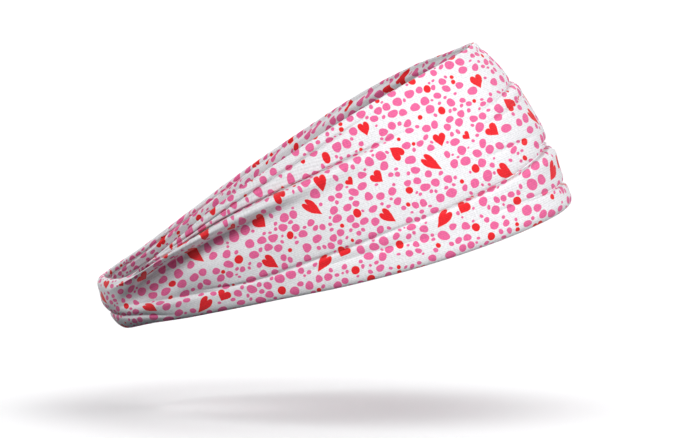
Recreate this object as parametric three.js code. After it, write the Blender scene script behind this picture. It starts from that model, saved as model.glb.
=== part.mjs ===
// A wide stretch-knit headband, worn form: high over the forehead, narrow and gathered at the nape.
// One loop of cloth, hollow, with the head's opening right through it. Millimetres.
// +X is the front of the head, -Y its right side and +Z up. The origin is the middle of the head's opening.
import * as THREE from 'three';

// Driving sizes, in mm and degrees
const LOOP_LENGTH = 203; // outside, front to back, along the band
const LOOP_WIDTH = 150; // outside, side to side
const FRONT_HEIGHT = 79; // over the forehead
const BACK_HEIGHT = 25; // at the nape
const WALL = 2.2; // both layers of the knit tube
const TILT = 22; // how far the front is worn above the nape
const LEAN = 13.4; // how far the top rim leans in over the forehead
const RIM_RISE = 4; // how much higher the left rim is pulled than the right
const RIM_ROLL = 3.6; // how far the top rim rolls in at the nape
const HEM_ROLL = 4; // how far the bottom rim rolls under
const ROLL_HEIGHT = 4; // height over which a rim rolls
const FOLD_DEPTH = 4.5; // the deepest fold

// Shares that shape the loop
const EGG = 0.1; // how much fuller the front half of the loop is
const LEAN_START = 0.34; // share of the height where the top starts to lean in
const ROLL_TURN = 75.93; // degrees that a rim rolls through, 90 is level
const LEFT_BLEND = 1.5; // how quickly the left side's rise comes in past the front
const CREASE_SPREAD = 1.5; // how much narrower a crease is than a round valley

// Facets
const STATIONS = 96; // round the loop
const OUTER_ROWS = 34; // up the outside
const INNER_ROWS = 18; // down the inside
const RIM_STEPS = 3; // round each rim
const EDGE_FINENESS = 0.35; // how much closer the rows lie near the rims

const RADIANS = Math.PI / 180;
const share = (value) => Math.min(1, Math.max(0, value));
const smooth = (value) => share(value) ** 2 * (3 - 2 * share(value));

// Rows of values under named columns
function table(columns, rows) {
  const names = columns.split(' ');
  return rows.map((row) => Object.fromEntries(names.map((name, i) => [name, row[i]])));
}

// Sections, from the front (turn 0) to the nape (turn 180), the same on both sides but for leftRise.
// span: share of the way from BACK_HEIGHT to FRONT_HEIGHT.
// above: share of the height above the loop's middle.
// leftRise, lean, roll: shares of RIM_RISE, LEAN and RIM_ROLL.
const SECTIONS = table('turn span above leftRise lean roll', [
  [0, 1, 0.525, 0.1, 1, 0],
  [30, 0.965, 0.517, 0.3, 0.9, 0],
  [50, 0.915, 0.515, 0.7, 0.77, 0],
  [70, 0.805, 0.513, 0.8, 0.63, 0.1],
  [90, 0.625, 0.511, 0.55, 0.48, 0.2],
  [110, 0.41, 0.513, 0.2, 0.3, 0.45],
  [130, 0.205, 0.487, -0.1, 0.15, 0.7],
  [150, 0.045, 0.429, 0, 0.06, 0.9],
  [180, 0, 0.377, 0, 0, 1],
]);

// Folds. from and to: turns where a fold starts and ends, the right side is positive.
// course: the fold's height at even steps from start to end, as shares of the height there.
// depth: share of FOLD_DEPTH, a ridge is negative. over and under: its width above and below its line,
// as shares of the height there. crisp: 0 a soft round valley, 1 a sharp crease.
// fade: share of its run over which it dies out at each end.
const FOLDS = table('name from to course depth over under crisp fade', [
  ['right rim crease', 140, 66, [0.99, 0.92, 0.93, 0.95, 0.96], 0.25, 0.04, 0.03, 1, 0.3],
  ['right upper crease', 150, 56, [0.96, 0.88, 0.82, 0.78, 0.75], 0.45, 0.1, 0.025, 0.8, 0.3],
  ['right ridge', 166, 62, [0.82, 0.84, 0.8, 0.76, 0.75], -0.35, 0.05, 0.07, 0, 0.3],
  ['right valley', 172, 62, [0.42, 0.66, 0.7, 0.7, 0.7], 1, 0.09, 0.12, 0.2, 0.35],
  ['right valley fork', 160, 112, [0.45, 0.43, 0.35, 0.28, 0.2], 0.35, 0.08, 0.06, 0.3, 0.35],
  ['right lower fold', 130, 60, [0.28, 0.22, 0.24, 0.25, 0.26], 0.3, 0.05, 0.07, 0.3, 0.35],
  ['right hem fold', 110, 62, [0.12, 0.15, 0.17, 0.17, 0.16], 0.15, 0.04, 0.06, 0, 0.4],
  ['front lower crease', 80, -66, [0.25, 0.28, 0.33, 0.32, 0.27], 0.3, 0.05, 0.03, 1, 0.25],
  ['front lower lip', 62, -52, [0.33, 0.36, 0.39, 0.37, 0.33], -0.22, 0.05, 0.03, 0, 0.35],
  ['front upper crease', 44, -30, [0.66, 0.69, 0.71, 0.72, 0.7], 0.3, 0.04, 0.04, 0.8, 0.35],
  ['front upper lip', 40, -28, [0.72, 0.745, 0.755, 0.75, 0.73], -0.25, 0.035, 0.03, 0, 0.35],
  ['front middle fold', 50, 14, [0.44, 0.45, 0.44, 0.42, 0.4], 0.1, 0.03, 0.03, 0.3, 0.4],
  ['front hem fold', 52, -44, [0.12, 0.12, 0.11, 0.12, 0.13], 0.22, 0.03, 0.04, 0.5, 0.3],
  ['front left fold', -8, -62, [0.55, 0.57, 0.56, 0.53, 0.5], 0.16, 0.04, 0.04, 0.5, 0.4],
  ['nape crease', 226, 130, [0.12, 0.28, 0.34, 0.26, 0.06], 0.35, 0.1, 0.07, 0.8, 0.2],
  ['nape ridge', 214, 150, [0.5, 0.56, 0.58, 0.55, 0.46], -0.2, 0.16, 0.12, 0, 0.35],
  ['left rim crease', -60, -144, [0.93, 0.91, 0.9, 0.9, 0.95], 0.35, 0.05, 0.03, 0.9, 0.3],
  ['left upper crease', -52, -152, [0.72, 0.76, 0.78, 0.82, 0.86], 0.4, 0.08, 0.03, 0.7, 0.3],
  ['left valley', -70, -174, [0.58, 0.6, 0.62, 0.6, 0.48], 0.85, 0.1, 0.13, 0.2, 0.35],
  ['left lower fold', -84, -166, [0.32, 0.3, 0.32, 0.36, 0.4], 0.4, 0.06, 0.08, 0.3, 0.35],
]);

// A smooth curve through values at places that rise, level at both ends where it is closed by symmetry
function curveThrough(places, values, place) {
  const last = places.length - 1;
  let i = 0;
  while (i < last - 1 && place > places[i + 1]) i += 1;
  const slope = (k) => {
    if (k === 0 || k === last) return 0;
    return (values[k + 1] - values[k - 1]) / (places[k + 1] - places[k - 1]);
  };
  const step = places[i + 1] - places[i];
  const s = share((place - places[i]) / step);
  const rise = values[i + 1] - values[i];
  const bend = (slope(i) * (1 - s) - slope(i + 1) * s) * step + rise * (2 * s - 1);
  return values[i] + rise * s + s * (1 - s) * bend;
}

const turns = SECTIONS.map((row) => row.turn);
const columnOf = (name) => SECTIONS.map((row) => row[name]);

// One column of the sections at any turn
function sectionValue(name, turn) {
  const folded = Math.abs(((turn + 540) % 360) - 180);
  return curveThrough(turns, columnOf(name), folded);
}

// The top and bottom of the band at a turn, measured from the loop's middle plane
function edgesAt(turn) {
  const height = BACK_HEIGHT + sectionValue('span', turn) * (FRONT_HEIGHT - BACK_HEIGHT);
  const leftness = smooth(0.5 - LEFT_BLEND * Math.sin(turn * RADIANS));
  const middleToTop = height * sectionValue('above', turn);
  const rise = RIM_RISE * sectionValue('leftRise', turn) * leftness;
  return { top: middleToTop + rise, bottom: middleToTop - height };
}

// How far a fold draws the cloth in at a turn and a share of the height
function foldInset(fold, turn, level) {
  const wrapped = [turn, turn - 360, turn + 360].find((t) => t <= fold.from && t >= fold.to);
  if (wrapped === undefined) return 0;
  const along = (fold.from - wrapped) / (fold.from - fold.to);
  const steps = fold.course.map((_, i) => i / (fold.course.length - 1));
  const offset = level - curveThrough(steps, fold.course, along);
  const across = Math.abs(offset) / (offset > 0 ? fold.over : fold.under);
  const round = Math.exp(-across * across);
  const crease = Math.exp(-across * CREASE_SPREAD);
  const strength = smooth(along / fold.fade) * smooth((1 - along) / fold.fade);
  return fold.depth * FOLD_DEPTH * strength * (round + (crease - round) * fold.crisp);
}

// A rim that rolls in: 0 away from the edge, 1 at it
function rollShare(distanceToEdge) {
  const near = share(1 - distanceToEdge / ROLL_HEIGHT) * Math.sin(ROLL_TURN * RADIANS);
  return 1 - Math.sqrt(1 - near * near);
}

// The outside of the cloth at a turn: how far out from the loop's outline, and how high
function outsideAt(turn, level) {
  const { top, bottom } = edgesAt(turn);
  const up = bottom + (top - bottom) * level;
  const lean = LEAN * sectionValue('lean', turn) * share((level - LEAN_START) / (1 - LEAN_START)) ** 2;
  const rimRoll = RIM_ROLL * sectionValue('roll', turn) * rollShare(top - up);
  const roll = rimRoll + HEM_ROLL * rollShare(up - bottom);
  const folds = FOLDS.reduce((sum, fold) => sum + foldInset(fold, turn, level), 0);
  return new THREE.Vector2(-(lean + roll + folds), up);
}

// The direction up the cloth, and the one straight out of it, in the plane of a section
function directionsAt(turn, level) {
  const step = 0.01;
  const low = outsideAt(turn, Math.max(0, level - step));
  const high = outsideAt(turn, Math.min(1, level + step));
  const along = high.sub(low).normalize();
  return { along, out: new THREE.Vector2(along.y, -along.x) };
}

// Levels from 0 to 1, closer together near both rims
function levelsOf(count) {
  return Array.from({ length: count }, (_, i) => {
    const even = i / (count - 1);
    const eased = 0.5 - 0.5 * Math.cos(Math.PI * even);
    return even + (eased - even) * EDGE_FINENESS;
  });
}

// A half round of the wall's thickness: over the top rim to the inside, or under the hem to the outside
function rimAt(turn, level) {
  const { along, out } = directionsAt(turn, level);
  const middle = outsideAt(turn, level).addScaledVector(out, -WALL / 2);
  const away = level > 0.5 ? 1 : -1;
  return Array.from({ length: RIM_STEPS - 1 }, (_, i) => {
    const angle = (Math.PI * (i + 1)) / RIM_STEPS;
    return middle
      .clone()
      .addScaledVector(out, away * Math.cos(angle) * (WALL / 2))
      .addScaledVector(along, away * Math.sin(angle) * (WALL / 2));
  });
}

// The closed section of the cloth at a turn: up the outside, over the rim, down the inside, under the hem
function sectionAt(turn) {
  const outside = levelsOf(OUTER_ROWS).map((level) => outsideAt(turn, level));
  const inside = levelsOf(INNER_ROWS)
    .reverse()
    .map((level) => outsideAt(turn, level).addScaledVector(directionsAt(turn, level).out, -WALL));
  return [...outside, ...rimAt(turn, 1), ...inside, ...rimAt(turn, 0)];
}

// The loop's outline seen along the band's height, with the direction straight out of it
function outlineAt(turn) {
  const a = turn * RADIANS;
  const fullness = 1 + EGG * Math.cos(a);
  const [long, wide] = [LOOP_LENGTH / 2, LOOP_WIDTH / 2];
  const place = new THREE.Vector2(long * Math.cos(a), -wide * Math.sin(a) * fullness);
  const sideways = Math.cos(a) * fullness - EGG * Math.sin(a) ** 2;
  const forward = new THREE.Vector2(-long * Math.sin(a), -wide * sideways).normalize();
  return { place, out: new THREE.Vector2(-forward.y, forward.x) };
}

// The loop: one section at each station, joined all round
function bandGeometry() {
  const positions = [];
  const indices = [];
  let rows = 0;
  for (let station = 0; station < STATIONS; station += 1) {
    const turn = (360 * station) / STATIONS;
    const { place, out } = outlineAt(turn);
    const section = sectionAt(turn);
    rows = section.length;
    for (const point of section) {
      positions.push(place.x + out.x * point.x, place.y + out.y * point.x, point.y);
    }
  }
  for (let station = 0; station < STATIONS; station += 1) {
    for (let row = 0; row < rows; row += 1) {
      const here = station * rows + row;
      const above = station * rows + ((row + 1) % rows);
      const next = ((station + 1) % STATIONS) * rows + row;
      const nextAbove = ((station + 1) % STATIONS) * rows + ((row + 1) % rows);
      indices.push(here, above, nextAbove, here, nextAbove, next);
    }
  }
  const geometry = new THREE.BufferGeometry();
  geometry.setAttribute('position', new THREE.Float32BufferAttribute(positions, 3));
  geometry.setIndex(indices);
  geometry.computeVertexNormals();
  return geometry;
}

const cloth = new THREE.MeshStandardMaterial({ color: 0xf6dfe8, roughness: 0.85, metalness: 0 });
const band = new THREE.Mesh(bandGeometry(), cloth);
band.name = 'band';

const headband = new THREE.Group();
headband.rotation.y = -TILT * RADIANS;
headband.add(band);

export default headband;
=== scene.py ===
"""A wide stretch-knit headband printed with hearts and dots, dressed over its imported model.

The cloth follows the solid's sections and main folds in finer steps. It adds crisp creases, a turned-over
edge and a print laid out in the cloth's own millimetres. +X is the front of the head, -Y its right side,
+Z up.
"""
import math

import bpy
import numpy as np
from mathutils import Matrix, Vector


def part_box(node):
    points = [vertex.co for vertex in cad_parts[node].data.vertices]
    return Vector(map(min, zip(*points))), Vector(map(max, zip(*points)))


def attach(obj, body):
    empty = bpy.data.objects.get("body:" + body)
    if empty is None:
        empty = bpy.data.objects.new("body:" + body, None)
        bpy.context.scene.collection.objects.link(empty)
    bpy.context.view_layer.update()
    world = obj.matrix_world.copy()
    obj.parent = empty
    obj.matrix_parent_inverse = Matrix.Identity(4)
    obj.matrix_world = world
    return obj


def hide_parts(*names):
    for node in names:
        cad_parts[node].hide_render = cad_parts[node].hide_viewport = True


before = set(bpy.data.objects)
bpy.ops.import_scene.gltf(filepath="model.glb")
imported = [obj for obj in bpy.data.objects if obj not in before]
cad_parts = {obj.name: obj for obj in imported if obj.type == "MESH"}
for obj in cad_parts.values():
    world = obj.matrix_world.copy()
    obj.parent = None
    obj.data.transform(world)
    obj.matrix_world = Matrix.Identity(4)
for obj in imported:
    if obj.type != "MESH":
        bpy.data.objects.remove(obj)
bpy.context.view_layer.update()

MM = 0.001

# The band's sizes, in mm and degrees, as the solid has them
LOOP_LENGTH = 203
LOOP_WIDTH = 150
FRONT_HEIGHT = 79
BACK_HEIGHT = 25
WALL = 2.2
TILT = 22
LEAN = 13.4
RIM_RISE = 4
RIM_ROLL = 3.6
HEM_ROLL = 4
ROLL_HEIGHT = 4
FOLD_DEPTH = 4.5
EGG = 0.1
LEAN_START = 0.34
ROLL_END = 0.97
SIDE_BLEND = 1.5

# The right rim near the nape is pulled down by up to RIM_TUCK mm, from this share of the height upwards
RIM_TUCK = 5.5
TUCK_START = 0.7

# The edge that is turned over inside the rim, in mm: how proud it stands, how far it reaches down, and over
# what heights it rounds in at the top and steps back at the bottom
EDGE_PROUD = 2.4
EDGE_DEPTH = 7.5
EDGE_ROUND = 2.5
EDGE_STEP = 1.5

# Away from a crease its depth falls off at the rate CREASE_SPREAD. Along a fully sharp one runs a narrow
# slot, about SLOT_WIDTH mm to each side, deeper by SLOT_SHARE of the crease's own depth.
CREASE_SPREAD = 1.5
SLOT_SHARE = 0.9
SLOT_WIDTH = 0.55

# At the sides the hem is pulled flat, and keeps only this share of its roll
SIDE_HEM = 0.4

# How finely the cloth is made. Rows crowd towards the rims, and round each crease of at least CROWDED_CRISP.
STATIONS = 432
OUTER_ROWS = 150
INNER_ROWS = 56
RIM_STEPS = 8
EDGE_FINENESS = 0.35
CREASE_CROWDING = 5.0
CROWDED_CRISP = 0.5
CROWDED_WIDTHS = 2.5
LEVELS_TRIED = 8
DIRECTION_STEP = 0.004

# The inner layer takes INNER_SHARE of each fold's depth, in folds no narrower than INNER_WIDTH, a share of
# the height. The cloth is nowhere thinner than LEAST_WALL, in mm.
INNER_SHARE = 0.8
INNER_WIDTH = 0.05
LEAST_WALL = 1.2


def table(columns, rows):
    """Rows of values under named columns."""
    names = columns.split()
    return [dict(zip(names, row)) for row in rows]


# Sections from the front (turn 0) to the nape (turn 180), in degrees. span: share of the way from
# BACK_HEIGHT to FRONT_HEIGHT. above: share of the height above the loop's middle. left_rise: share of
# RIM_RISE, on the left side. right_tuck: share of RIM_TUCK, on the right side. lean and roll: shares of LEAN
# and RIM_ROLL.
SECTIONS = table("turn span above left_rise right_tuck lean roll", [
    (0, 1, 0.525, 0.1, 0, 1, 0),
    (30, 0.965, 0.517, 0.3, 0, 0.9, 0),
    (50, 0.915, 0.515, 0.7, 0, 0.77, 0),
    (70, 0.805, 0.513, 0.8, 0, 0.63, 0.1),
    (90, 0.625, 0.511, 0.55, 0.1, 0.48, 0.2),
    (110, 0.41, 0.513, 0.2, 0.35, 0.3, 0.45),
    (130, 0.205, 0.487, -0.1, 0.9, 0.15, 0.7),
    (150, 0.045, 0.429, 0, 1, 0.06, 0.9),
    (180, 0, 0.377, 0, 0, 0, 1),
])

# Folds. start and end: turns, the right side is positive. course: levels at even steps, as shares of the
# height there. depth: share of FOLD_DEPTH, a ridge is negative. over and under: widths above and below the
# course, as shares of the height. crisp: 0 a soft round valley, 1 a sharp crease. fade: share of the run
# over which an end dies out.
FOLDS = table("name start end course depth over under crisp fade", [
    ("right rim crease", 140, 62, (0.99, 0.925, 0.92, 0.94, 0.95), 0.3, 0.05, 0.02, 1, 0.3),
    ("right upper crease", 150, 58, (0.96, 0.87, 0.82, 0.785, 0.77), 0.65, 0.1, 0.018, 1, 0.3),
    ("right ridge", 166, 62, (0.72, 0.79, 0.77, 0.745, 0.73), -0.4, 0.06, 0.05, 0, 0.3),
    ("right valley", 160, 88, (0.5, 0.66, 0.69, 0.685, 0.68), 1.8, 0.035, 0.15, 0.5, 0.5),
    ("right valley's end", 118, 66, (0.6, 0.62, 0.63, 0.64, 0.65), 0.14, 0.06, 0.09, 0.2, 0.4),
    ("right hollow", 162, 122, (0.44, 0.45, 0.46, 0.48, 0.5), 0.9, 0.15, 0.12, 0, 0.4),
    ("right valley fork", 162, 112, (0.42, 0.34, 0.28, 0.23, 0.19), 0.7, 0.14, 0.025, 0.8, 0.4),
    ("right lower fold", 130, 60, (0.28, 0.21, 0.235, 0.26, 0.275), 0.22, 0.03, 0.02, 1, 0.35),
    ("right hem fold", 104, 60, (0.165, 0.175, 0.175, 0.16, 0.14), 0.18, 0.04, 0.03, 0.6, 0.4),
    ("front lower crease", 80, -66, (0.26, 0.288, 0.345, 0.33, 0.27), 0.4, 0.035, 0.014, 1, 0.25),
    ("front lower lip", 58, -52, (0.25, 0.275, 0.295, 0.29, 0.25), -0.2, 0.02, 0.05, 0, 0.35),
    ("front short crease", 28, -26, (0.385, 0.375, 0.37, 0.365, 0.36), 0.22, 0.03, 0.012, 1, 0.4),
    ("front upper crease", 44, -30, (0.68, 0.71, 0.735, 0.745, 0.72), 0.32, 0.05, 0.014, 1, 0.35),
    ("front upper lip", 30, -28, (0.675, 0.69, 0.705, 0.71, 0.69), -0.14, 0.02, 0.05, 0, 0.35),
    ("front nick", 42, 2, (0.61, 0.625, 0.635, 0.65, 0.66), 0.16, 0.02, 0.012, 1, 0.35),
    ("front middle fold", 48, 14, (0.45, 0.45, 0.45, 0.445, 0.44), 0.12, 0.025, 0.015, 1, 0.4),
    ("front hem fold", 54, -44, (0.155, 0.14, 0.128, 0.128, 0.13), 0.28, 0.03, 0.014, 1, 0.3),
    ("front rim crease", 64, -56, (0.965, 0.965, 0.96, 0.965, 0.965), 0.12, 0.02, 0.016, 0.8, 0.3),
    ("front left fold", -8, -62, (0.55, 0.57, 0.56, 0.53, 0.5), 0.16, 0.04, 0.04, 0.5, 0.4),
    ("nape crease", 226, 130, (0.12, 0.28, 0.37, 0.2, 0.06), 0.3, 0.06, 0.03, 0.9, 0.2),
    ("nape hem tuck", 214, 126, (0, 0, 0, 0, 0), 0.55, 0.24, 0.1, 0, 0.3),
    ("nape ridge", 214, 150, (0.5, 0.56, 0.58, 0.55, 0.46), -0.2, 0.16, 0.12, 0, 0.35),
    ("left rim crease", -60, -144, (0.93, 0.91, 0.9, 0.9, 0.95), 0.35, 0.05, 0.03, 0.9, 0.3),
    ("left upper crease", -52, -152, (0.72, 0.76, 0.78, 0.82, 0.86), 0.4, 0.08, 0.03, 0.7, 0.3),
    ("left valley", -70, -174, (0.58, 0.6, 0.62, 0.6, 0.48), 0.85, 0.1, 0.13, 0.2, 0.35),
    ("left lower fold", -84, -166, (0.32, 0.3, 0.32, 0.36, 0.4), 0.4, 0.06, 0.08, 0.3, 0.35),
])

# The print, in mm of the cloth. along: forward from the middle of the right side. up: from the loop's
# middle. tip: the way in which a heart's tip points, in degrees up from forward. OUT_OF_PRINT: a repeat so
# large that the print never repeats straight out of the cloth.
PRINT_REPEAT_ALONG = 53.2
PRINT_REPEAT_UP = 64.0
OUT_OF_PRINT = 1000
HEARTS = table("along up tip length width", [
    (31.9, 28.6, -88, 6.2, 4.7),
    (40.4, 14.4, 123, 6.0, 5.5),
    (5.9, 13.0, -97, 5.3, 5.3),
    (-1.3, 5.5, -53, 9.4, 4.7),
    (29.0, 7.9, -58, 5.5, 5.6),
    (27.0, -8.5, -53, 7.0, 4.8),
    (-5.3, -17.2, -145, 8.4, 5.0),
    (4.0, -15.8, -135, 5.0, 5.9),
    (17.6, 10.2, -60, 3.4, 3.8),
])
RED_DOTS = table("along up radius", [
    (10.6, 33.8, 1.7),
    (12.2, 23.3, 1.6),
    (39.1, -1.5, 1.5),
    (15.5, -3.0, 1.8),
    (27.2, -21.2, 1.7),
    (5.8, -24.6, 1.7),
    (2.1, 24.2, 1.0),
    (22.9, 32.2, 1.0),
    (27.2, 21.7, 0.8),
    (43.3, 19.2, 0.8),
    (48.3, 15.2, 0.8),
    (7.5, -5.7, 0.9),
    (36.6, -6.9, 0.9),
    (9.3, -12.4, 0.7),
    (41.7, -26.5, 1.0),
    (23.3, -29.6, 0.9),
])

# Inks and bare cloth
WHITE = (0.72, 0.715, 0.73, 1)
PINK = (0.72, 0.118, 0.29, 1)
RED = (0.725, 0.012, 0.019, 1)


def smooth(value):
    """Rises from 0 to 1 as the value does, level at both ends."""
    value = np.clip(value, 0, 1)
    return value * value * (3 - 2 * value)


def curve_through(places, values, at):
    """A smooth curve through values at rising places, level at both ends."""
    places = np.asarray(places, float)
    values = np.asarray(values, float)
    slopes = np.zeros(len(values))
    slopes[1:-1] = (values[2:] - values[:-2]) / (places[2:] - places[:-2])
    i = np.clip(np.searchsorted(places, at, side="right") - 1, 0, len(places) - 2)
    step = places[i + 1] - places[i]
    s = np.clip((at - places[i]) / step, 0, 1)
    rise = values[i + 1] - values[i]
    bend = (slopes[i] * (1 - s) - slopes[i + 1] * s) * step + rise * (2 * s - 1)
    return values[i] + rise * s + s * (1 - s) * bend


def section_value(name, turn):
    """A column of SECTIONS at any turn, the same on both sides."""
    mirrored = np.abs((turn + 540) % 360 - 180)
    return curve_through([row["turn"] for row in SECTIONS], [row[name] for row in SECTIONS], mirrored)


def rightness(turn):
    """1 on the right side and 0 on the left, with a blend at the front and the nape."""
    return smooth(0.5 + SIDE_BLEND * np.sin(np.radians(turn)))


def edges_at(turn):
    """The top and bottom of the band, measured from the loop's middle plane."""
    height = BACK_HEIGHT + section_value("span", turn) * (FRONT_HEIGHT - BACK_HEIGHT)
    middle_to_top = height * section_value("above", turn)
    rise = RIM_RISE * section_value("left_rise", turn) * rightness(-turn)
    return middle_to_top + rise, middle_to_top - height


def fold_place(fold, turn):
    """A fold's level and its strength at each turn."""
    wrapped = np.where(turn > fold["start"], turn - 360, turn)
    wrapped = np.where(wrapped < fold["end"], wrapped + 360, wrapped)
    along = (fold["start"] - wrapped) / (fold["start"] - fold["end"])
    inside = (along >= 0) & (along <= 1)
    steps = np.linspace(0, 1, len(fold["course"]))
    strength = smooth(along / fold["fade"]) * smooth((1 - along) / fold["fade"])
    return curve_through(steps, fold["course"], np.clip(along, 0, 1)), np.where(inside, strength, 0)


def fold_inset(fold, turn, level, tall, soft):
    """How far a fold draws the cloth in, on a band so tall. A soft one is as the inner layer follows it."""
    course, strength = fold_place(fold, turn)
    offset = level - course
    width = np.where(offset > 0, fold["over"], fold["under"])
    if soft:
        width = np.maximum(width, INNER_WIDTH)
    across = np.abs(offset) / width
    shape = np.exp(-across * across)
    crisp = 0 if soft else fold["crisp"]
    shape = shape + (np.exp(-across * CREASE_SPREAD) - shape) * crisp
    if crisp == 1:
        shape = shape + SLOT_SHARE * np.exp(-(offset * tall / SLOT_WIDTH) ** 2)
    depth = fold["depth"] * FOLD_DEPTH * (INNER_SHARE if soft else 1)
    return depth * strength * shape


def roll_share(distance_to_edge):
    """How far a rim has rolled in at some distance from its edge, as a share of the whole roll."""
    near = np.clip(1 - distance_to_edge / ROLL_HEIGHT, 0, 1) * ROLL_END
    return 1 - np.sqrt(1 - near * near)


def outside_at(turn, level, folded=True, soft=False):
    """The outside of the cloth: how far out from the loop's outline, and how high."""
    top, bottom = edges_at(turn)
    tuck = RIM_TUCK * section_value("right_tuck", turn) * rightness(turn)
    up = bottom + (top - bottom) * level - tuck * smooth((level - TUCK_START) / (1 - TUCK_START))
    lean = LEAN * section_value("lean", turn) * np.clip((level - LEAN_START) / (1 - LEAN_START), 0, 1) ** 2
    rim_roll = RIM_ROLL * section_value("roll", turn) * roll_share(top - tuck - up)
    hem_share = SIDE_HEM + (1 - SIDE_HEM) * np.cos(np.radians(turn)) ** 2
    hem_roll = HEM_ROLL * hem_share * roll_share(up - bottom)
    out = -(lean + rim_roll + hem_roll)
    if folded:
        for fold in FOLDS:
            out = out - fold_inset(fold, turn, level, top - bottom, soft)
    return out, up


def turned_edge(turn, level):
    """How far the turned-over edge inside the rim stands proud of the inner layer."""
    top, bottom = edges_at(turn)
    below_rim = (top - bottom) * (1 - level)
    return EDGE_PROUD * smooth(below_rim / EDGE_ROUND) * smooth((EDGE_DEPTH - below_rim) / EDGE_STEP)


def directions_at(turn, level, soft=False):
    """The direction up the cloth, in a section's plane. Straight out of it is (up part, minus out part)."""
    low = outside_at(turn, np.maximum(level - DIRECTION_STEP, 0), soft=soft)
    high = outside_at(turn, np.minimum(level + DIRECTION_STEP, 1), soft=soft)
    out, up = high[0] - low[0], high[1] - low[1]
    size = np.hypot(out, up)
    return out / size, up / size


def even_levels(count):
    """Levels from the hem to the rim, a little closer together at both ends."""
    even = np.linspace(0, 1, count)
    eased = 0.5 - 0.5 * np.cos(np.pi * even)
    return even + (eased - even) * EDGE_FINENESS


def crowded_levels(turns, count):
    """Levels for each turn that crowd round the creases there, so that the creases stay crisp."""
    fine = even_levels(count * LEVELS_TRIED)
    levels = np.empty((len(turns), count))
    for i, turn in enumerate(turns):
        density = np.ones_like(fine)
        for fold in FOLDS:
            if fold["crisp"] < CROWDED_CRISP:
                continue
            course, strength = fold_place(fold, np.array([float(turn)]))
            across = (fine - course[0]) / (CROWDED_WIDTHS * min(fold["over"], fold["under"]))
            density += CREASE_CROWDING * strength[0] * np.exp(-across * across)
        run = np.concatenate([[0], np.cumsum((density[1:] + density[:-1]) / 2 * np.diff(fine))])
        levels[i] = np.interp(even_levels(count), run / run[-1], fine)
    return levels


def outline_at(turn):
    """The loop's outline seen along the band's height, with the direction straight out of it."""
    a = np.radians(turn)
    fullness = 1 + EGG * np.cos(a)
    long, wide = LOOP_LENGTH / 2, LOOP_WIDTH / 2
    sideways = np.cos(a) * fullness - EGG * np.sin(a) ** 2
    forward = np.stack([-long * np.sin(a), -wide * sideways], -1)
    forward /= np.linalg.norm(forward, axis=-1, keepdims=True)
    place = np.stack([long * np.cos(a), -wide * np.sin(a) * fullness], -1)
    return place, np.stack([-forward[..., 1], forward[..., 0]], -1)


# How the print lies on the band. turn: as in SECTIONS, with a row past each end for an even run there.
# place: mm of cloth forward from the middle of the right side. gather: mm of print to a mm of height, more
# where folds take up cloth. lift: mm that it stands higher.
PRINT_LAY = table("turn place gather lift", [
    (-16, 134.0, 0.95, 1.8),
    (0, 118.0, 0.95, 1.8),
    (16, 102.0, 0.95, 1.8),
    (40, 80.3, 0.95, 1.6),
    (60, 51.8, 0.97, 1.1),
    (74, 28.9, 1.0, 0.1),
    (90, 0.0, 1.0, -0.6),
    (104, -25.2, 1.0, -0.3),
    (118, -48.0, 1.1, 0.1),
    (130, -65.6, 1.2, 1.2),
    (142, -79.0, 1.27, 3.1),
    (152, -89.4, 1.35, 4.0),
    (180, -119.0, 1.4, 4.5),
    (208, -148.6, 1.35, 4.0),
])
# How much of the shorter way round a rim that leans in shows in the print
LEAN_SHORTENING = 0.6
# The most that a fold draws cloth along the band, for each mm of its depth
MOST_DRAWN = 1.3
# Nearer the middle of the front than this turn, folds draw ever less cloth along the band
CALM_TURN = 24
# The print is evened over this reach in mm round a fold's steep side, by this share
LEDGE_REACH = 6
LEDGE_SHARE = 0.7
LEDGE_SAMPLES = 13


def lay_value(name, turn):
    """A column of PRINT_LAY at any turn, the same on both sides."""
    return curve_through([row["turn"] for row in PRINT_LAY], [row[name] for row in PRINT_LAY], np.abs(turn))


def print_place(turn, height, outward, inset, drawn_in):
    """Where points of the band lie in the print, in mm. inset: how far they lean in from the loop's outline.
    drawn_in: how far the folds take them in, which draws cloth along the band towards its sides."""
    # How far a point faces forward from its own side, in radians
    right_facing = np.abs(np.arctan2(outward[..., 0], -outward[..., 1]))
    right_facing = np.where(outward[..., 0] < 0, -right_facing, right_facing)
    left_facing = np.arctan2(outward[..., 0], outward[..., 1])
    facing = np.where(turn < 0, left_facing, right_facing)
    drawn_along = drawn_in * np.clip(np.tan(facing), -MOST_DRAWN, MOST_DRAWN)
    drawn_along = drawn_along * smooth(np.abs(turn) / CALM_TURN)
    along = lay_value("place", turn) - LEAN_SHORTENING * inset * facing - drawn_along
    middle = lay_value("place", 0.0) - LEAN_SHORTENING * inset * math.pi / 2
    along = np.where(turn < 0, 2 * middle - along, along)
    return along, height * lay_value("gather", turn) + lay_value("lift", turn)


def even_ledges(height, outer):
    """What the print moves up or down near a fold's steep side, so that it isn't stretched there."""
    rises = np.linalg.norm(np.diff(outer, axis=1), axis=-1)
    extra = np.concatenate([np.zeros((len(outer), 1)), np.cumsum(rises, 1)], 1) - height
    offsets = np.linspace(-LEDGE_REACH, LEDGE_REACH, LEDGE_SAMPLES)
    moved = np.empty_like(extra)
    for i in range(len(outer)):
        around = height[i][:, None] + offsets
        moved[i] = extra[i] - np.interp(around, height[i], extra[i]).mean(1)
    return moved


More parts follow.
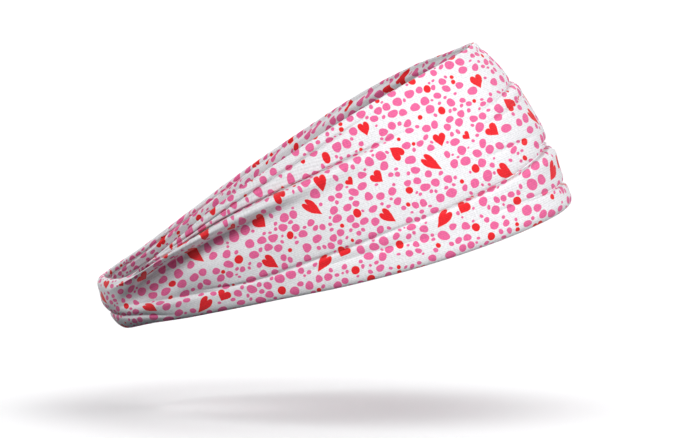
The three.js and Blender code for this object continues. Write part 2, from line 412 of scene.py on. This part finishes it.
def band_object():
    """The cloth: closed sections up the outside, over the rim, down the inside and under the hem."""
    turns = np.linspace(180, -180, STATIONS + 1)
    grid = np.repeat(turns[:, None], OUTER_ROWS, 1)
    outer_levels = crowded_levels(turns, OUTER_ROWS)
    outer = np.stack(outside_at(grid, outer_levels), -1)
    plain = np.stack(outside_at(grid, outer_levels, folded=False), -1)

    inner_levels = np.repeat(even_levels(INNER_ROWS)[None, ::-1], len(turns), 0)
    inner_grid = np.repeat(turns[:, None], INNER_ROWS, 1)
    along_out, along_up = directions_at(inner_grid, inner_levels, soft=True)
    inner = np.stack(outside_at(inner_grid, inner_levels, soft=True), -1)
    inner = inner - WALL * np.stack([along_up, -along_out], -1)
    covering = outside_at(inner_grid, inner_levels)[0]
    inner[..., 0] = np.minimum(inner[..., 0], covering - LEAST_WALL)
    inner[..., 0] -= turned_edge(inner_grid, inner_levels)

    def rim(first, last, away):
        """A half round from the first point to the last, bulging away from the cloth."""
        middle = (first + last) / 2
        half = (first - last) / 2
        bulge = np.stack([-half[:, 1], half[:, 0]], -1) * away
        angles = np.pi * np.arange(1, RIM_STEPS)[:, None] / RIM_STEPS
        return middle[:, None] + half[:, None] * np.cos(angles) + bulge[:, None] * np.sin(angles)

    top_rim = rim(outer[:, -1], inner[:, 0], 1)
    hem = rim(inner[:, -1], outer[:, 0], 1)
    section = np.concatenate([outer, top_rim, inner, hem], 1)

    # Heights in the cloth, in mm up from the loop's middle. What the folds take up counts only near their
    # steep sides.
    rises = np.linalg.norm(np.diff(plain, axis=1), axis=-1)
    height = np.concatenate([np.zeros((len(turns), 1)), np.cumsum(rises, 1)], 1)
    for i in range(len(turns)):
        height[i] -= np.interp(0, plain[i, :, 1], height[i])
    height = height + LEDGE_SHARE * even_ledges(height, outer)
    inside = np.concatenate([section[:, OUTER_ROWS - 1:], outer[:, :1]], 1)
    rest = np.linalg.norm(np.diff(inside, axis=1), axis=-1)
    height = np.concatenate([height, height[:, -1:] + np.cumsum(rest, 1)], 1)

    place, out = outline_at(turns)
    rounded = np.concatenate([section, outer[:, :1]], 1)[..., 0]
    leaning = np.concatenate([-plain[..., 0], -rounded[:, OUTER_ROWS:]], 1)
    drawn_in = -leaning - rounded
    wide = np.repeat(out[:, None], height.shape[1], 1)
    along, height = print_place(turns[:, None], height, wide, leaning, drawn_in)
    flat = place[:, None] + section[..., :1] * out[:, None]
    tilt = math.radians(TILT)
    x = flat[..., 0] * math.cos(tilt) - section[..., 1] * math.sin(tilt)
    z = flat[..., 0] * math.sin(tilt) + section[..., 1] * math.cos(tilt)
    points = np.stack([x, flat[..., 1], z], -1)[:-1] * MM

    rows = section.shape[1]
    station, row = np.meshgrid(np.arange(STATIONS), np.arange(rows), indexing="ij")
    following, over = (station + 1) % STATIONS, (row + 1) % rows
    corners = [station * rows + row, station * rows + over, following * rows + over, following * rows + row]
    faces = np.stack(corners, -1).reshape(-1, 4)[:, ::-1]

    mesh = bpy.data.meshes.new("printed_band")
    mesh.from_pydata(points.reshape(-1, 3).tolist(), [], faces.tolist())
    u = np.stack([along[station, row], along[station, row + 1], along[station + 1, row + 1],
                  along[station + 1, row]], -1)
    v = np.stack([height[station, row], height[station, row + 1], height[station + 1, row + 1],
                  height[station + 1, row]], -1)
    layer = mesh.uv_layers.new(name="cloth_mm")
    cloth_places = np.stack([u, v], -1).reshape(-1, 4, 2)[:, ::-1]
    layer.data.foreach_set("uv", cloth_places.reshape(-1).astype(np.float32))
    mesh.polygons.foreach_set("use_smooth", np.ones(len(faces), bool))
    mesh.update()
    mesh.validate()
    band = bpy.data.objects.new("printed_band", mesh)
    bpy.context.scene.collection.objects.link(band)
    return band


class Maths:
    """Writes sums as shader nodes: each call adds one node and gives its output socket."""

    def __init__(self, tree):
        self.tree = tree

    def node(self, kind, **settings):
        made = self.tree.nodes.new(kind)
        for name, value in settings.items():
            setattr(made, name, value)
        return made

    def feed(self, socket, value):
        if isinstance(value, bpy.types.NodeSocket):
            self.tree.links.new(value, socket)
        elif value is not None:
            socket.default_value = value

    def value(self, operation, *inputs, clamp=False):
        made = self.node("ShaderNodeMath", operation=operation, use_clamp=clamp)
        for socket, given in zip(made.inputs, inputs):
            self.feed(socket, given)
        return made.outputs[0]

    def vector(self, operation, *inputs, scale=None):
        made = self.node("ShaderNodeVectorMath", operation=operation)
        for socket, given in zip(made.inputs, inputs):
            self.feed(socket, given)
        self.feed(made.inputs[3], scale)
        return made.outputs[1 if operation in ("DOT_PRODUCT", "LENGTH") else 0]


def group(name, inputs, outputs):
    """An empty node group with typed sockets."""
    tree = bpy.data.node_groups.new(name, "ShaderNodeTree")
    for kind, names in (("INPUT", inputs), ("OUTPUT", outputs)):
        for socket, socket_type in names.items():
            tree.interface.new_socket(socket, in_out=kind, socket_type=socket_type)
    return tree, tree.nodes.new("NodeGroupInput"), tree.nodes.new("NodeGroupOutput")


# A heart is a square stood on its corner, the tip, with a round lobe on each upper side and a cleft between
# them. In its own units the square's diagonal is 1 and its side is SIDE_SCALE.
LOBE_CENTRE = (0.29, 0.77, 0)
LOBE_RADIUS = 0.305
CLEFT_HEIGHT = 0.8
CLEFT_SLOPE = 0.6
SIDE_SCALE = 0.7071
HEART_WIDE = 2 * (LOBE_CENTRE[0] + LOBE_RADIUS)
HEART_TALL = LOBE_CENTRE[1] + LOBE_RADIUS
HEART_MIDDLE = 0.58


def chart_group():
    """How far a point of the cloth is from the nearest heart or red dot, in mm, negative inside one."""
    sockets = {"Point": "NodeSocketVector"}, {"Distance": "NodeSocketFloat"}
    tree, given, result = group("print_chart", *sockets)
    maths = Maths(tree)
    half = (PRINT_REPEAT_ALONG / 2, PRINT_REPEAT_UP / 2, OUT_OF_PRINT)
    nearest = None

    def from_motif(row):
        apart = maths.vector("SUBTRACT", given.outputs[0], (row["along"], row["up"], 0))
        return maths.vector("WRAP", apart, half, tuple(-h for h in half))

    for heart in HEARTS:
        apart = from_motif(heart)
        tip = math.radians(heart["tip"])
        unit = heart["width"] / HEART_WIDE
        tall = heart["length"] / HEART_TALL
        across = maths.vector("DOT_PRODUCT", apart, (-math.sin(tip) / unit, math.cos(tip) / unit, 0))
        back = maths.vector("DOT_PRODUCT", apart, (-math.cos(tip) / tall, -math.sin(tip) / tall, 0))
        x = maths.value("ABSOLUTE", across)
        y = maths.value("ADD", back, HEART_MIDDLE)
        spot = maths.node("ShaderNodeCombineXYZ")
        maths.feed(spot.inputs[0], x)
        maths.feed(spot.inputs[1], y)
        from_lobe = maths.vector("LENGTH", maths.vector("SUBTRACT", spot.outputs[0], LOBE_CENTRE))
        lobe = maths.value("SUBTRACT", from_lobe, LOBE_RADIUS)
        over = maths.value("SUBTRACT", maths.value("ADD", x, y), 1)
        side = maths.value("MAXIMUM", maths.value("SUBTRACT", x, y), over)
        side = maths.value("MULTIPLY", side, SIDE_SCALE)
        cleft = maths.value("SUBTRACT", maths.value("MULTIPLY_ADD", x, -CLEFT_SLOPE, y), CLEFT_HEIGHT)
        body = maths.value("MAXIMUM", side, cleft)
        distance = maths.value("MULTIPLY", maths.value("MINIMUM", lobe, body), unit)
        nearest = distance if nearest is None else maths.value("MINIMUM", nearest, distance)
    for dot in RED_DOTS:
        length = maths.vector("LENGTH", from_motif(dot))
        nearest = maths.value("MINIMUM", nearest, maths.value("SUBTRACT", length, dot["radius"]))
    maths.feed(result.inputs[0], nearest)
    return tree


# Pink dots, in mm: large ones on a loose lattice, and small ones in the room that is left. pitch: from one
# to the next. least and most: radii. spread: 0 an even lattice, 1 fully scattered. shift: where the lattice
# begins.
DOT_GAP = 0.42
DOT_STRETCH = 1.07
LARGE = {"pitch": 5.05, "spread": 0.55, "least": 1.65, "most": 2.15, "shift": (11.3, 4.7, 0)}
SMALL = {"pitch": 2.9, "spread": 0.7, "least": 0.8, "most": 1.35, "shift": (3.9, 17.1, 0)}
SMALLEST_DRAWN = 0.55


def cells_at(maths, point, layer, feature):
    """The scattered cells of a layer, read at a point of the cloth."""
    pitch = layer["pitch"]
    moved = maths.vector("ADD", point, layer["shift"])
    scaled = maths.vector("MULTIPLY", moved, (1 / (pitch * DOT_STRETCH), DOT_STRETCH / pitch, 0))
    cells = maths.node("ShaderNodeTexVoronoi", voronoi_dimensions="2D", feature=feature)
    maths.feed(cells.inputs["Vector"], scaled)
    cells.inputs["Scale"].default_value = 1
    cells.inputs["Randomness"].default_value = layer["spread"]
    return cells


def cell_centre(maths, cells, layer):
    """The middle of a cell, as a point of the cloth."""
    pitch = layer["pitch"]
    unscale = (pitch * DOT_STRETCH, pitch / DOT_STRETCH, 0)
    back = maths.vector("MULTIPLY", cells.outputs["Position"], unscale)
    return maths.vector("SUBTRACT", back, layer["shift"])


def dot_radius(maths, point, cells, layer):
    """A cell's own radius, no larger than leaves a gap to the next cell's dot, in mm."""
    ball = cells_at(maths, point, layer, "N_SPHERE_RADIUS")
    free = maths.value("MULTIPLY_ADD", ball.outputs["Radius"], layer["pitch"], -DOT_GAP / 2)
    parts = maths.node("ShaderNodeSeparateColor")
    maths.feed(parts.inputs[0], cells.outputs["Color"])
    own = maths.value("MULTIPLY_ADD", parts.outputs[0], layer["most"] - layer["least"], layer["least"])
    return maths.value("MINIMUM", free, own)


def dots_group(chart):
    """Pink dots: how far inside one a point is, in mm. Small ones are drawn where large ones leave room."""
    tree, given, result = group("pink_dots", {"Point": "NodeSocketVector"}, {"Inside": "NodeSocketFloat"})
    maths = Maths(tree)
    point = given.outputs[0]

    def clear_of_chart(at):
        asked = tree.nodes.new("ShaderNodeGroup")
        asked.node_tree = chart
        maths.feed(asked.inputs[0], at)
        return maths.value("SUBTRACT", asked.outputs[0], DOT_GAP)

    def inside_dot(cells, layer, radius):
        drawn = maths.value("GREATER_THAN", radius, SMALLEST_DRAWN)
        inside = maths.value("MULTIPLY_ADD", cells.outputs["Distance"], -layer["pitch"], radius)
        return maths.value("SUBTRACT", maths.value("ADD", inside, drawn), 1)

    large = cells_at(maths, point, LARGE, "F1")
    room = clear_of_chart(cell_centre(maths, large, LARGE))
    radius = maths.value("MINIMUM", dot_radius(maths, point, large, LARGE), room)
    large_inside = inside_dot(large, LARGE, radius)

    small = cells_at(maths, point, SMALL, "F1")
    centre = cell_centre(maths, small, SMALL)
    beside = cells_at(maths, centre, LARGE, "F1")
    clear = maths.value("MULTIPLY_ADD", beside.outputs["Distance"], LARGE["pitch"], -DOT_GAP)
    clear = maths.value("SUBTRACT", clear, dot_radius(maths, centre, beside, LARGE))
    room = maths.value("MINIMUM", clear, clear_of_chart(centre))
    radius = maths.value("MINIMUM", dot_radius(maths, point, small, SMALL), room)
    small_inside = inside_dot(small, SMALL, radius)
    maths.feed(result.inputs[0], maths.value("MAXIMUM", large_inside, small_inside))
    return tree


# The print's outlines wander a little, as if drawn by hand. WANDER_SCALE: wanders to a mm. The rest are in
# mm.
WANDER_SCALE = 0.2
PINK_WANDER = 1.3
CHART_WANDER = 0.5
INK_EDGE = 0.12

# Stitches and the fuzz on them, in mm, and the relief that they make
STITCH_WIDTH = 0.9
STITCH_HEIGHT = 0.75
STITCH_SLANT = 1.6
STITCH_RELIEF = 0.25
FUZZ_SCALE = 1.3
RELIEF_STRENGTH = 0.6
RELIEF_DEPTH = 0.15

# Painted shade in the hollows of the knit: the yarn's brightness where the stitch and fuzz relief is lowest,
# and how much more it is where the relief is highest
RELIEF_SHADE_LOW = 0.8
RELIEF_SHADE_RANGE = 0.4


def printed_knit():
    """White knit with the print in it: matt, faintly furry, with the stitches as fine relief."""
    material = bpy.data.materials.new("printed_knit")
    material.use_nodes = True
    tree = material.node_tree
    shader = tree.nodes["Principled BSDF"]
    maths = Maths(tree)
    cloth = maths.node("ShaderNodeUVMap", uv_map="cloth_mm").outputs["UV"]

    def noise(scale, detail, colour=False):
        made = maths.node("ShaderNodeTexNoise", noise_dimensions="2D")
        maths.feed(made.inputs["Vector"], cloth)
        made.inputs["Scale"].default_value = scale
        made.inputs["Detail"].default_value = detail
        return made.outputs["Color" if colour else "Fac"]

    wander = maths.vector("SUBTRACT", noise(WANDER_SCALE, detail=0.0, colour=True), (0.5, 0.5, 0.5))
    at_pink = maths.vector("ADD", cloth, maths.vector("SCALE", wander, scale=PINK_WANDER))
    at_chart = maths.vector("ADD", cloth, maths.vector("SCALE", wander, scale=CHART_WANDER))

    chart = chart_group()
    red = tree.nodes.new("ShaderNodeGroup")
    red.node_tree = chart
    maths.feed(red.inputs[0], at_chart)
    pink = tree.nodes.new("ShaderNodeGroup")
    pink.node_tree = dots_group(chart)
    maths.feed(pink.inputs[0], at_pink)
    pink_ink = maths.value("MULTIPLY_ADD", pink.outputs[0], 1 / INK_EDGE, 0.5, clamp=True)
    red_ink = maths.value("MULTIPLY_ADD", red.outputs[0], -1 / INK_EDGE, 0.5, clamp=True)

    def mixed(factor, first, second):
        made = maths.node("ShaderNodeMix", data_type="RGBA")
        maths.feed(made.inputs[0], factor)
        maths.feed(made.inputs[6], first)
        maths.feed(made.inputs[7], second)
        return made.outputs[2]

    print_colour = mixed(red_ink, mixed(pink_ink, WHITE, PINK), RED)

    # Stitches: wales up the cloth and rows across it, each stitch a slanted loop
    parts = maths.node("ShaderNodeSeparateXYZ")
    maths.feed(parts.inputs[0], cloth)
    wale = maths.value("SINE", maths.value("MULTIPLY", parts.outputs[0], 2 * math.pi / STITCH_WIDTH))
    slant = maths.value("MULTIPLY", maths.value("ABSOLUTE", wale), STITCH_SLANT)
    row = maths.value("MULTIPLY_ADD", parts.outputs[1], 2 * math.pi / STITCH_HEIGHT, slant)
    loops = maths.value("MULTIPLY", maths.value("ABSOLUTE", wale), maths.value("SINE", row))
    relief = maths.value("MULTIPLY_ADD", loops, STITCH_RELIEF, noise(FUZZ_SCALE, detail=3.0))
    bump = maths.node("ShaderNodeBump")
    bump.inputs["Strength"].default_value = RELIEF_STRENGTH
    bump.inputs["Distance"].default_value = RELIEF_DEPTH * MM
    maths.feed(bump.inputs["Height"], relief)

    # Painted shade: the yarn's colour is darkened where the stitch and fuzz relief is low, as shade in its
    # hollows
    relief_shade = maths.node("ShaderNodeHueSaturation")
    maths.feed(relief_shade.inputs["Value"], maths.value("MULTIPLY_ADD", relief, RELIEF_SHADE_RANGE, RELIEF_SHADE_LOW))
    maths.feed(relief_shade.inputs["Color"], print_colour)
    maths.feed(shader.inputs["Base Color"], relief_shade.outputs[0])
    maths.feed(shader.inputs["Normal"], bump.outputs[0])
    shader.inputs["Roughness"].default_value = 0.85
    shader.inputs["Specular IOR Level"].default_value = 0.15
    shader.inputs["Sheen Weight"].default_value = 0.15
    shader.inputs["Sheen Roughness"].default_value = 0.5
    return material


# The studio, in metres. FLOOR_BELOW: how far the band hangs over the floor.
FLOOR_BELOW = 0.034
STUDIO_RADIUS = 4.0
STUDIO_WALL = 2.2
STUDIO_CURVE = 1.2
STUDIO_SIDES = 96
CURVE_STEPS = 12
FLOOR_RINGS = (0, 0.1, 0.3, 1)
STUDIO_WHITE = (0.93, 0.93, 0.93, 1)
COVE_GLOW = 1.1


def plain_material(name, glow):
    """Matt white, which may glow."""
    material = bpy.data.materials.new(name)
    material.use_nodes = True
    shader = material.node_tree.nodes["Principled BSDF"]
    shader.inputs["Base Color"].default_value = STUDIO_WHITE
    shader.inputs["Roughness"].default_value = 1
    shader.inputs["Specular IOR Level"].default_value = 0
    shader.inputs["Emission Color"].default_value = (1, 1, 1, 1)
    shader.inputs["Emission Strength"].default_value = glow
    return material


def surface_of_rings(name, profile, height, material):
    """A round surface about the vertical, from (radius, height) points."""
    turns = np.arange(STUDIO_SIDES) * 2 * math.pi / STUDIO_SIDES
    points = [(r * math.cos(t), r * math.sin(t), height + h) for r, h in profile for t in turns]
    faces = []
    for ring in range(len(profile) - 1):
        inner = ring * STUDIO_SIDES
        outer = inner + STUDIO_SIDES
        for i in range(STUDIO_SIDES):
            j = (i + 1) % STUDIO_SIDES
            faces.append((inner + i, outer + i, outer + j, inner + j))
    mesh = bpy.data.meshes.new(name)
    mesh.from_pydata(points, [], faces)
    mesh.polygons.foreach_set("use_smooth", np.ones(len(faces), bool))
    mesh.materials.append(material)
    made = bpy.data.objects.new(name, mesh)
    bpy.context.scene.collection.objects.link(made)
    made.visible_diffuse = False
    return made


def studio(floor_height):
    """A pale floor, and a white cove that rises from its edge all round."""
    floor_radius = STUDIO_RADIUS - STUDIO_CURVE
    floor_profile = [(floor_radius * share, 0.0) for share in FLOOR_RINGS]
    floor = surface_of_rings("floor", floor_profile, floor_height, plain_material("floor_white", 0.0))
    cove_profile = []
    for i in range(CURVE_STEPS + 1):
        angle = math.pi / 2 * i / CURVE_STEPS
        radius = floor_radius + STUDIO_CURVE * math.sin(angle)
        cove_profile.append((radius, STUDIO_CURVE * (1 - math.cos(angle))))
    cove_profile.append((STUDIO_RADIUS, STUDIO_WALL))
    cove = surface_of_rings("cove", cove_profile, floor_height, plain_material("cove_white", COVE_GLOW))
    cove.visible_shadow = False
    return floor


# Soft lights, each on one thing alone. way: from the object towards the light. spread: its width in degrees.
LIGHTS = table("name lit way strength spread", [
    ("key", "band", (0.86, -0.68, 0.42), 3.2, 30),
    ("left", "band", (-0.5, -0.6, 0.62), 2.2, 40),
    ("back", "band", (-0.3, 0.88, 0.36), 2.6, 60),
    ("floor_light", "floor", (0.28, 0.0, 1.0), 3.5, 80),
])
WORLD_COLOUR = (0.92, 0.97, 1.1, 1)
WORLD_STRENGTH = 0.08


def lights(**lit):
    """The lights of the table on the things they name, and a faint light all round."""
    for row in LIGHTS:
        light = bpy.data.lights.new(row["name"], "SUN")
        light.energy = row["strength"]
        light.angle = math.radians(row["spread"])
        lamp = bpy.data.objects.new(row["name"], light)
        lamp.rotation_euler = Vector(row["way"]).to_track_quat("Z", "Y").to_euler()
        bpy.context.scene.collection.objects.link(lamp)
        receivers = bpy.data.collections.new(row["name"] + "_lights")
        receivers.objects.link(lit[row["lit"]])
        lamp.light_linking.receiver_collection = receivers
    world = bpy.data.worlds.new("studio")
    world.use_nodes = True
    world.node_tree.nodes["Background"].inputs["Color"].default_value = WORLD_COLOUR
    world.node_tree.nodes["Background"].inputs["Strength"].default_value = WORLD_STRENGTH
    bpy.context.scene.world = world


# The camera: CAMERA_DISTANCE m off and CAMERA_RISE degrees above, as the photograph was taken. ORIGIN_PIXEL
# is where the loop's middle shows in the picture, and PIXELS_PER_MM is the scale there.
CAMERA_DISTANCE = 1.45
CAMERA_RISE = 3.5
SENSOR_WIDTH = 36
PICTURE_WIDTH = 700
PICTURE_HEIGHT = 438
PIXELS_PER_MM = 2.33
ORIGIN_PIXEL = (322, 210)


def camera():
    """Moved aside in its own plane to frame the picture, so that it needs no shift."""
    rise = math.radians(CAMERA_RISE)
    data = bpy.data.cameras.new("camera")
    data.sensor_width = SENSOR_WIDTH
    data.lens = data.sensor_width * PIXELS_PER_MM / MM * CAMERA_DISTANCE / PICTURE_WIDTH
    eye = bpy.data.objects.new("camera", data)
    away = Vector((0, -math.cos(rise), math.sin(rise)))
    side = Vector((1, 0, 0))
    up = side.cross(-away)
    across = (PICTURE_WIDTH / 2 - ORIGIN_PIXEL[0]) / PIXELS_PER_MM * MM
    upward = (ORIGIN_PIXEL[1] - PICTURE_HEIGHT / 2) / PIXELS_PER_MM * MM
    eye.location = away * CAMERA_DISTANCE + side * across + up * upward
    eye.rotation_euler = away.to_track_quat("Z", "Y").to_euler()
    bpy.context.scene.collection.objects.link(eye)
    bpy.context.scene.camera = eye


camera()
band = band_object()
band.data.materials.append(printed_knit())
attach(band, "root")
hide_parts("band")

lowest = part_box("band")[0][2]
lights(band=band, floor=studio(lowest - FLOOR_BELOW))
bpy.context.scene.view_settings.view_transform = "Standard"
